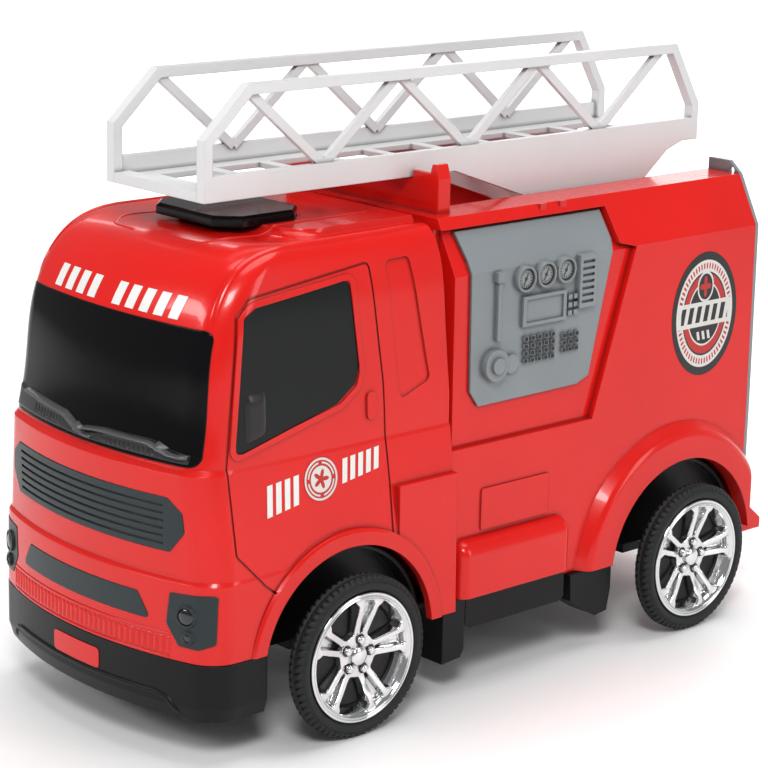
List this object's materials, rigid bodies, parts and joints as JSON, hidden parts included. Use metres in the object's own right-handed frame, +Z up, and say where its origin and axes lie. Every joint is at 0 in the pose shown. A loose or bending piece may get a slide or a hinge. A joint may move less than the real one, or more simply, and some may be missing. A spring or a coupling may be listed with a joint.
{
  "type": "toy fire engine",
  "caption": "Toy fire engine with a bow-fronted red cab, spinning wheels on steel axles and a grey truss ladder that raises about a pin at the back.",
  "frame": {"origin": "centre of the bounding box in plan, at the level of the ground under the tyres", "axes": "+Z up, the cab faces -Y, +X is the truck's left side"},
  "size_m": [0.1712, 0.3608, 0.2708],
  "materials": {
    "red_plastic": "glossy moulded",
    "black_gloss": "high gloss",
    "smoked_window": "smooth satin gloss",
    "dark_insert": "satin",
    "grey_panel": "satin moulded",
    "black_plastic": "satin moulded",
    "ladder_grey": "smooth moulded",
    "tyre_black": "ribbed rubber",
    "rim_chrome": "bright plated",
    "axle_steel": "drawn",
    "screw_steel": "zinc plated"
  },
  "bodies": {
    "truck_body": {"chassis": "black_plastic", "cab_shell": "red_plastic", "windscreen": "black_gloss", "left_side_window": "smoked_window", "right_side_window": "smoked_window", "upper_grille": "dark_insert", "lower_grille": "dark_insert", "left_headlight": "dark_insert", "right_headlight": "dark_insert", "bumper_plate": "red_plastic", "roof_pad": "black_gloss", "rear_shell": "red_plastic", "left_control_panel": "grey_panel", "right_control_panel": "grey_panel", "rear_panel": "grey_panel", "chassis_screws": "screw_steel", "ladder_pivot_pin": "axle_steel"},
    "front_wheels": {"front_axle": "axle_steel", "front_left_tyre": "tyre_black", "front_right_tyre": "tyre_black", "front_left_rim": "rim_chrome", "front_right_rim": "rim_chrome"},
    "rear_wheels": {"rear_axle": "axle_steel", "rear_left_tyre": "tyre_black", "rear_right_tyre": "tyre_black", "rear_left_rim": "rim_chrome", "rear_right_rim": "rim_chrome"},
    "ladder": {"ladder_floor": "ladder_grey", "ladder_left_side": "ladder_grey", "ladder_right_side": "ladder_grey"}
  },
  "joints": [
    {"name": "front_wheels_spin", "type": "hinge", "parent": "truck_body", "child": "front_wheels", "pos_m": [0, -0.09425, 0.0353], "axis": [1, 0, 0], "continuous": true},
    {"name": "rear_wheels_spin", "type": "hinge", "parent": "truck_body", "child": "rear_wheels", "pos_m": [0, 0.11575, 0.0353], "axis": [1, 0, 0], "continuous": true},
    {"name": "ladder_raise", "type": "hinge", "parent": "truck_body", "child": "ladder", "pos_m": [0, 0.09675, 0.1993], "axis": [-1, 0, 0], "range_deg": [0, 45]}
  ]
}
